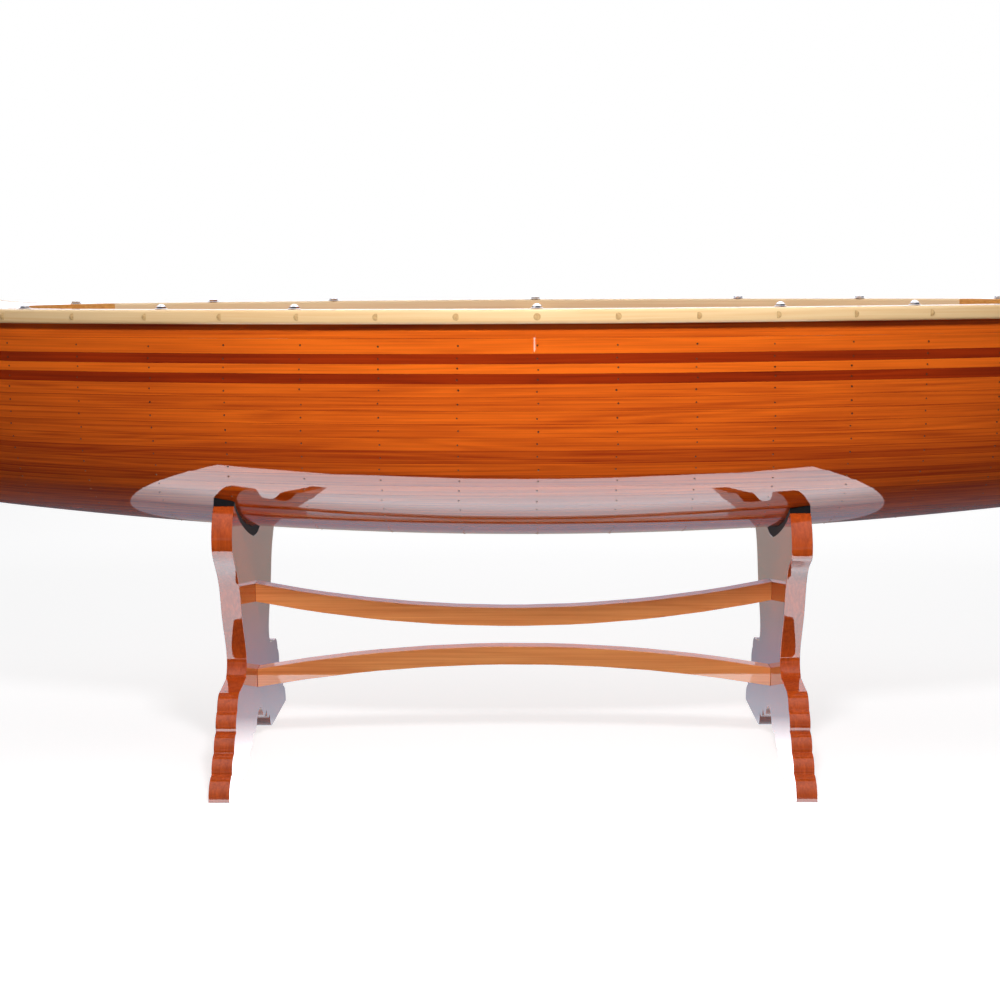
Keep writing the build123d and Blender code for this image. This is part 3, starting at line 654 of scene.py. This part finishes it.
def softened(node, radius, finish, slot, body, steps=3):
    """A smooth copy of a CAD piece with its square edges rounded over."""
    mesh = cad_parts[node].data.copy()
    mesh.materials.clear()
    solid = bmesh.new()
    solid.from_mesh(mesh)
    bmesh.ops.remove_doubles(solid, verts=solid.verts, dist=2e-6)
    bmesh.ops.dissolve_limit(solid, angle_limit=flat_within, verts=solid.verts, edges=solid.edges)
    for face in solid.faces:
        face.smooth = True
    solid.to_mesh(mesh)
    solid.free()
    piece = new_piece(f"{node}_sanded", mesh)
    rounding = piece.modifiers.new("rounding", "BEVEL")
    rounding.width, rounding.segments = radius, steps
    rounding.limit_method, rounding.angle_limit = "ANGLE", arris_over
    flattening = piece.modifiers.new("flattening", "WEIGHTED_NORMAL")
    flattening.weight, flattening.keep_sharp = 100, True
    piece.data = bpy.data.meshes.new_from_object(piece.evaluated_get(bpy.context.evaluated_depsgraph_get()))
    piece.modifiers.clear()
    piece.data.name = f"{node}_sanded"
    finish_piece(piece, finish, slot, body, node)
    return piece


stem_oak = varnished_wood("stem_oak", (0.62, 0.27, 0.08), (0.32, 0.11, 0.03), figure=0.5, tone=0.5)
deck_timber = varnished_wood("deck_hardwood", (0.88, 0.46, 0.13), (0.58, 0.22, 0.05), figure=0.6, tone=0.5)
cross_ash, long_ash = (
    varnished_wood(name, (0.74, 0.42, 0.17), (0.42, 0.19, 0.06), figure=0.5, tone=0.55, along=along,
                   coat_ior=1.5) for name, along in (("cross_ash", (0, 1, 0)), ("long_ash", (1, 0, 0))))
softened("keel_plank", 0.0004, stem_oak, "backbone_wood", "canoe")
softened("centre_thwart", 0.0025, cross_ash, "seat_wood", "canoe")
softened("seat_spacers", 0.0006, cross_ash, "seat_wood", "canoe", 2)
for end in ("bow", "stern"):
    softened(f"{end}_outer_stem", 0.0025, stem_oak, "backbone_wood", "canoe")
    softened(f"{end}_inner_stem", 0.001, stem_oak, "backbone_wood", "canoe")
    softened(f"{end}_deck", 0.001, deck_timber, "deck_wood", "canoe")
    softened(f"{end}_deck_beam", 0.0015, cross_ash, "seat_wood", "canoe")
    softened(f"{end}_seat_cross_rails", 0.002, cross_ash, "seat_wood", "canoe")
    softened(f"{end}_seat_side_rails", 0.002, long_ash, "seat_wood", "canoe")

# ---------------------------------------------------------------- seat cane
# Each seat is woven from split cane: pairs of strands both ways, over and under, and two sets of
# diagonals through them, held at the frame under a flat border strand.
cane_pitch, strand_width, strand_thickness = 0.0125, 0.0022, 0.0005
strand_step, weave_rise, pair_offset, border_width = 0.0035, 0.00035, 0.0018, 0.005


def strand_mesh(name, start, end, side_step, waves, lift, width=strand_width):
    """A flat cane strand between two points that rises and dips over its crossings."""
    run = end - start
    across = Vector((-run.y, run.x, 0)).normalized() * width / 2
    thick = Vector((0, 0, strand_thickness / 2))
    steps = max(6, int(run.length / strand_step))
    rows = []
    for i in range(steps + 1):
        share = i / steps
        rise = lift + weave_rise * math.sin(math.pi * (waves * share + side_step))
        middle = start + run * share + Vector((0, 0, rise))
        rows.append([middle - across - thick, middle + across - thick,
                     middle + across + thick, middle - across + thick])
    layout = [[(0.01 * i, 0.001 * k) for k in range(4)] for i in range(len(rows))]
    return swept_mesh(name, rows, layout)


def clipped(start, end, low, high):
    """The part of a line on the seat that lies inside its frame, or None."""
    first, last = 0.0, 1.0
    for axis in (0, 1):
        step = end[axis] - start[axis]
        if abs(step) < 1e-9:
            if not low[axis] <= start[axis] <= high[axis]:
                return None
            continue
        a, b = (low[axis] - start[axis]) / step, (high[axis] - start[axis]) / step
        first, last = max(first, min(a, b)), min(last, max(a, b))
    if last - first < 0.02:
        return None
    return start + (end - start) * first, start + (end - start) * last


def cane_panel(node):
    low, high = (Vector(corner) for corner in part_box(node))
    level = low.z + 0.0007
    low.z = high.z = level
    inset = Vector((0.002, 0.002, 0))
    low, high = low + inset, high - inset
    strands = []
    for axis in (0, 1):
        other = 1 - axis
        count = int((high[other] - low[other]) / cane_pitch)
        for k in range(1, count):
            for pair in (-pair_offset, pair_offset):
                start, end = low.copy(), high.copy()
                start[other] = end[other] = low[other] + (high[other] - low[other]) * k / count + pair
                waves = (high[axis] - low[axis]) / cane_pitch
                strands.append(strand_mesh("strand", start, end, k + 0.5 * axis, waves, 0.0002 * axis))
    reach = high - low
    for lean in (1, -1):
        for k in range(-int(reach.x / cane_pitch) - 1, int(reach.y / cane_pitch) + 2):
            side, inward = (low.y, 1) if lean > 0 else (high.y, -1)
            start = Vector((low.x, side + inward * (k + 0.5) * cane_pitch, level))
            end = start + Vector((reach.x, lean * reach.x, 0))
            inside = clipped(start, end, low, high)
            if inside:
                waves = (inside[1] - inside[0]).length / cane_pitch / 1.41
                strands.append(strand_mesh("strand", *inside, k, waves, 0.0006, strand_width * 1.15))
    outline = ((low.x, low.y), (high.x, low.y), (high.x, high.y), (low.x, high.y))
    corners = [Vector((x, y, level + 0.0006)) for x, y in outline]
    for start, end in zip(corners, corners[1:] + corners[:1]):
        strands.append(strand_mesh("border", start, end, 0, 2, 0.0002, border_width))
    return joined(f"{node}_woven", strands)


split_cane = varnished_wood("split_cane", (0.88, 0.70, 0.40), (0.62, 0.42, 0.18), figure=0.4, tone=0.6,
                            coat=0.4, coat_ior=1.45)
for end in ("bow", "stern"):
    woven = new_piece(f"{end}_cane_woven", cane_panel(f"{end}_seat_cane"))
    finish_piece(woven, split_cane, "cane", "canoe", f"{end}_seat_cane")

# ---------------------------------------------------------------- small fastenings
# Repeated hardware is one small piece set down at many spots by Geometry Nodes: copper tacks through
# every strip at every rib, wooden plugs over the gunwale screws, washers and domed nuts over the bolts.
def small_part(name, profile, sides):
    """A turned part from its (radius, height) profile, closed on its axis."""
    turned = bmesh.new()
    rings = []
    for radius, height in profile:
        if radius == 0:
            rings.append([turned.verts.new((0, 0, height))])
            continue
        angles = [2 * math.pi * k / sides for k in range(sides)]
        rings.append([turned.verts.new((radius * math.cos(a), radius * math.sin(a), height)) for a in angles])
    for a, b in zip(rings, rings[1:]):
        for k in range(sides):
            j = (k + 1) % sides
            corners = [a[k % len(a)], a[j % len(a)], b[j % len(b)], b[k % len(b)]]
            face = turned.faces.new(list(dict.fromkeys(corners)))
            face.smooth = True
    bmesh.ops.recalc_face_normals(turned, faces=turned.faces)
    mesh = bpy.data.meshes.new(name)
    turned.to_mesh(mesh)
    turned.free()
    return mesh


def setting_tree(name):
    """Sets a part down at each spot, facing its way, turned and sized a little at random."""
    tree = bpy.data.node_groups.new(name, "GeometryNodeTree")
    for label, kind in (("Geometry", "NodeSocketGeometry"), ("Part", "NodeSocketObject"),
                        ("Finish", "NodeSocketMaterial"), ("Size Spread", "NodeSocketFloat"),
                        ("Turn Spread", "NodeSocketFloat"), ("Seed", "NodeSocketInt")):
        tree.interface.new_socket(label, in_out="INPUT", socket_type=kind)
    tree.interface.new_socket("Geometry", in_out="OUTPUT", socket_type="NodeSocketGeometry")
    given, made = tree.nodes.new("NodeGroupInput"), tree.nodes.new("NodeGroupOutput")
    part = tree.nodes.new("GeometryNodeObjectInfo")
    facing = tree.nodes.new("GeometryNodeInputNamedAttribute")
    facing.data_type = "FLOAT_VECTOR"
    facing.inputs["Name"].default_value = "facing"
    aim = tree.nodes.new("FunctionNodeAlignRotationToVector")
    aim.axis = "Z"
    spin = tree.nodes.new("FunctionNodeRandomValue")
    spin.data_type = "FLOAT"
    turn_low = tree.nodes.new("ShaderNodeMath")
    turn_low.operation = "MULTIPLY"
    turn_low.inputs[1].default_value = -1.0
    spin_vector = tree.nodes.new("ShaderNodeCombineXYZ")
    own_turn = tree.nodes.new("FunctionNodeEulerToRotation")
    turned = tree.nodes.new("FunctionNodeRotateRotation")
    turned.rotation_space = "LOCAL"
    size = tree.nodes.new("FunctionNodeRandomValue")
    size.data_type = "FLOAT"
    size_low, size_high = tree.nodes.new("ShaderNodeMath"), tree.nodes.new("ShaderNodeMath")
    size_low.operation, size_high.operation = "SUBTRACT", "ADD"
    size_low.inputs[0].default_value = size_high.inputs[0].default_value = 1.0
    place = tree.nodes.new("GeometryNodeInstanceOnPoints")
    solid = tree.nodes.new("GeometryNodeRealizeInstances")
    paint = tree.nodes.new("GeometryNodeSetMaterial")
    for out, into in (
            (given.outputs["Part"], part.inputs["Object"]),
            (facing.outputs["Attribute"], aim.inputs["Vector"]),
            (given.outputs["Turn Spread"], turn_low.inputs[0]),
            (turn_low.outputs[0], spin.inputs[2]),
            (given.outputs["Turn Spread"], spin.inputs[3]),
            (given.outputs["Seed"], spin.inputs["Seed"]),
            (spin.outputs[1], spin_vector.inputs["Z"]),
            (spin_vector.outputs[0], own_turn.inputs[0]),
            (aim.outputs[0], turned.inputs["Rotation"]),
            (own_turn.outputs[0], turned.inputs["Rotate By"]),
            (given.outputs["Size Spread"], size_low.inputs[1]),
            (given.outputs["Size Spread"], size_high.inputs[1]),
            (size_low.outputs[0], size.inputs[2]),
            (size_high.outputs[0], size.inputs[3]),
            (given.outputs["Seed"], size.inputs["Seed"]),
            (given.outputs["Geometry"], place.inputs["Points"]),
            (part.outputs["Geometry"], place.inputs["Instance"]),
            (turned.outputs[0], place.inputs["Rotation"]),
            (size.outputs[1], place.inputs["Scale"]),
            (place.outputs[0], solid.inputs[0]),
            (solid.outputs[0], paint.inputs["Geometry"]),
            (given.outputs["Finish"], paint.inputs["Material"]),
            (paint.outputs[0], made.inputs[0])):
        tree.links.new(out, into)
    return tree


setting = setting_tree("set_parts_down")


def set_down(name, part_mesh, spots, finish, slot, body, *nodes, size_spread=0.0, turn_spread=0.0, seed=5):
    """A piece made of one part at every (point, direction) spot."""
    points = bpy.data.meshes.new(name)
    points.from_pydata([tuple(p) for p, _ in spots], [], [])
    facing = points.attributes.new("facing", "FLOAT_VECTOR", "POINT")
    for k, (_, way) in enumerate(spots):
        facing.data[k].vector = way
    piece, part = new_piece(name, points), new_piece(f"{name}_part", part_mesh)
    modifier = piece.modifiers.new("set_down", "NODES")
    modifier.node_group = setting
    values = {"Part": part, "Finish": finish, "Size Spread": size_spread, "Turn Spread": turn_spread,
              "Seed": seed}
    for socket in setting.interface.items_tree:
        if socket.in_out == "INPUT" and socket.name in values:
            modifier[socket.identifier] = values[socket.name]
    piece.data = bpy.data.meshes.new_from_object(piece.evaluated_get(bpy.context.evaluated_depsgraph_get()))
    piece.data.name = name
    piece.modifiers.clear()
    bpy.data.objects.remove(part)
    finish_piece(piece, finish, slot, body, *nodes)
    return piece


def metal(name, color, roughness, spots_dark=0.25):
    """Plated or bare metal with faint smudges in its polish."""
    finish = bpy.data.materials.new(name)
    finish.use_nodes = True
    tree = finish.node_tree
    body = tree.nodes["Principled BSDF"]
    body.inputs["Metallic"].default_value = 1.0
    place = tree.nodes.new("ShaderNodeTexCoord")
    smudge = add_noise(tree, place.outputs["Object"], 260.0, 3, 0.6)
    dull = tuple(c * (1 - spots_dark) for c in color)
    tree.links.new(add_mix(tree, smudge, (*dull, 1), (*color, 1)), body.inputs["Base Color"])
    rough = add_math(tree, "MULTIPLY_ADD", smudge, roughness, roughness * 0.5)
    tree.links.new(rough, body.inputs["Roughness"])
    return finish


def hull_spot(x, girth, depth, sign):
    """A spot on the planking's outside with its outward direction, on port (1) or starboard (-1)."""
    point, outward = hull_point(x, girth, depth), hull_point(x, girth, depth - 0.01)
    way = (outward - point).normalized()
    return Vector((point.x, sign * point.y, point.z)), Vector((way.x, sign * way.y, way.z))


copper = metal("copper_tack", (0.20, 0.085, 0.04), 0.45, 0.5)
tack_head = small_part("tack_head", [(0, -0.0004), (0.0011, -0.0004), (0.00105, 0.0001),
                                     (0.0006, 0.00032), (0, 0.0004)], 10)
hammer_miss, tack_keel_margin, tack_side_margin = 0.0012, 0.006, 0.004
tack_spots = []
hammer = random.Random(17)
for x in rib_places:
    for girth, width in seam_girths[1:]:
        middle = girth + width / 2
        if (middle < girth_to_keel(x) - tack_keel_margin
                and hull_point(x, middle, 0).y > keel_half + tack_side_margin):
            for sign in (1, -1):
                miss = hammer.uniform(-hammer_miss, hammer_miss), hammer.uniform(-hammer_miss, hammer_miss)
                tack_spots.append(hull_spot(x + miss[0], middle + miss[1], 0, sign))
set_down("rib_tacks", tack_head, tack_spots, copper, "brass", "canoe", size_spread=0.12, seed=3)

plug_wood = varnished_wood("plug_end_grain", (0.78, 0.52, 0.25), (0.44, 0.24, 0.09), figure=0.7, tone=0.5,
                           along=(0, 1, 0), coat_ior=1.5)
plug_radius = 0.004
plug_part = small_part("plug", [(0, -0.004), (plug_radius, -0.004), (plug_radius, -plug_proud),
                                (plug_radius - 0.0004, -0.00004), (0, 0)], 24)
plug_spots = [hull_spot(x, rail_height / 2 - rail_proud, -outwale_gap - outwale_width(x), sign)
              for x in rib_places for sign in (1, -1)]
set_down("gunwale_plugs_flush", plug_part, plug_spots, plug_wood, "plug_wood", "canoe", "gunwale_plugs",
         turn_spread=3.1, seed=9)

chrome = metal("bright_chrome", (0.86, 0.86, 0.88), 0.05, 0.08)
nut_half_flats, nut_hex_height, nut_dome_radius, nut_dome_rise = 0.005, 0.0022, 0.0054, 0.0026


def acorn_mesh():
    """Six flats with their corners turned off above, under a low round dome."""
    sides, dome_steps = 36, 6
    dome_base = math.sqrt(nut_dome_radius ** 2 - (nut_dome_radius - nut_dome_rise) ** 2)
    dome_turn = math.asin(dome_base / nut_dome_radius)
    cloth = bmesh.new()

    def ring(height, radius_at):
        angles = [2 * math.pi * k / sides for k in range(sides)]
        return [cloth.verts.new((radius_at(a) * math.cos(a), radius_at(a) * math.sin(a), height))
                for a in angles]

    def flats(angle):
        return nut_half_flats / math.cos(angle % (math.pi / 3) - math.pi / 6)

    rings = [ring(0, flats), ring(nut_hex_height - 0.0006, flats),
             ring(nut_hex_height, lambda a: min(flats(a), nut_half_flats * 1.01))]
    for k in range(dome_steps):
        turn = dome_turn * (1 - k / dome_steps)
        rings.append(ring(nut_hex_height + nut_dome_rise - nut_dome_radius * (1 - math.cos(turn)),
                          lambda a, r=nut_dome_radius * math.sin(turn): r))
    for a, b in zip(rings, rings[1:]):
        for k in range(sides):
            face = cloth.faces.new((a[k], a[(k + 1) % sides], b[(k + 1) % sides], b[k]))
            face.smooth = a is not rings[0]
    cloth.faces.new(list(reversed(rings[0])))
    top = cloth.verts.new((0, 0, nut_hex_height + nut_dome_rise))
    for k in range(sides):
        cloth.faces.new((rings[-1][k], rings[-1][(k + 1) % sides], top)).smooth = True
    bmesh.ops.recalc_face_normals(cloth, faces=cloth.faces)
    mesh = bpy.data.meshes.new("acorn_nut")
    cloth.to_mesh(mesh)
    cloth.free()
    return mesh


washer_radius, washer_thickness = 0.007, 0.001
deck_beam_place, seat_middle, seat_rail_spacing = 0.597, 0.349, 0.156
bolt_places = [0, deck_beam_place, -deck_beam_place]
bolt_places += [end * (seat_middle + along * seat_rail_spacing / 2) for end in (-1, 1) for along in (-1, 1)]
seating = 0.0001
bolt_spots = []
for x in bolt_places:
    over = hull_point(x, -rail_proud, inwale_outside + inwale_thickness / 2)
    rise = max(hull_point(x + along, -rail_proud, inwale_outside + across).z
               for along in (-washer_radius, washer_radius) for across in (0, inwale_thickness))
    bolt_spots += [(Vector((x, sign * over.y, rise + seating)), Vector((0, 0, 1))) for sign in (1, -1)]
washer_part = small_part("washer", [(0, 0), (washer_radius, 0), (washer_radius, washer_thickness * 0.7),
                                    (washer_radius - 0.0003, washer_thickness), (0, washer_thickness)], 32)
set_down("rail_washers", washer_part, bolt_spots, chrome, "chrome", "canoe", "bolt_washers")
nut_spots = [(p + Vector((0, 0, washer_thickness)), way) for p, way in bolt_spots]
set_down("domed_nuts", acorn_mesh(), nut_spots, chrome, "chrome", "canoe", "acorn_nuts", turn_spread=0.5,
         seed=21)


def dress(node, finish, slot):
    """Gives a CAD piece that keeps its own shape its finish."""
    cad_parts[node].data.materials.clear()
    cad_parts[node].data.materials.append(finish)


steel = metal("plain_steel", (0.55, 0.55, 0.56), 0.22, 0.2)
brass = metal("plain_brass", (0.62, 0.42, 0.16), 0.25, 0.2)
for bolts in ("thwart_bolts", "seat_bolts", "deck_beam_bolts", "stretcher_bolts", "stretcher_inserts"):
    dress(bolts, steel, "steel")
dress("gunwale_screws", brass, "brass")

# ---------------------------------------------------------------- stand
# Two boards of varnished hardwood, sawn to a scrolled outline with rounded edges, stand across the
# boat and are tied by two bent stretchers that are bolted between them.
stand_upright = varnished_wood("stand_upright", (0.66, 0.105, 0.014), (0.30, 0.038, 0.007), figure=0.6,
                               tone=0.6, along=(0, 0, 1))
stand_rail = varnished_wood("stand_rail", (0.92, 0.40, 0.13), (0.58, 0.16, 0.045), figure=0.6, tone=0.58)
for side in ("left", "right"):
    softened(f"{side}_stand_board", 0.003, stand_upright, "stand_wood", "stand", 4)
for level in ("upper", "lower"):
    softened(f"{level}_stretcher", 0.003, stand_rail, "stand_wood", "stand", 4)

# ---------------------------------------------------------------- cradle pads
# A strip of thick black felt is glued along each cradle, so the varnish never touches the boards.
# It is soft, with its free edges rounded and a short nap.
felt = bpy.data.materials.new("black_felt")
felt.use_nodes = True
felt_tree = felt.node_tree
felt_body = felt_tree.nodes["Principled BSDF"]
set_inputs(felt_body, Roughness=0.95, Specular_IOR_Level=0.15, Sheen_Weight=0.05, Sheen_Roughness=0.6)
felt_place = felt_tree.nodes.new("ShaderNodeTexCoord")
nap = add_noise(felt_tree, felt_place.outputs["Object"], 900.0, 4, 0.7)
felt_tree.links.new(add_mix(felt_tree, nap, (0.004, 0.004, 0.005, 1), (0.018, 0.018, 0.020, 1)),
                    felt_body.inputs["Base Color"])
felt_bump = felt_tree.nodes.new("ShaderNodeBump")
set_inputs(felt_bump, Strength=0.6, Distance=0.0006)
felt_tree.links.new(nap, felt_bump.inputs["Height"])
felt_tree.links.new(felt_bump.outputs[0], felt_body.inputs["Normal"])
for side in ("left", "right"):
    pad = softened(f"{side}_cradle_pad", 0.0018, felt, "felt", "stand", 3)
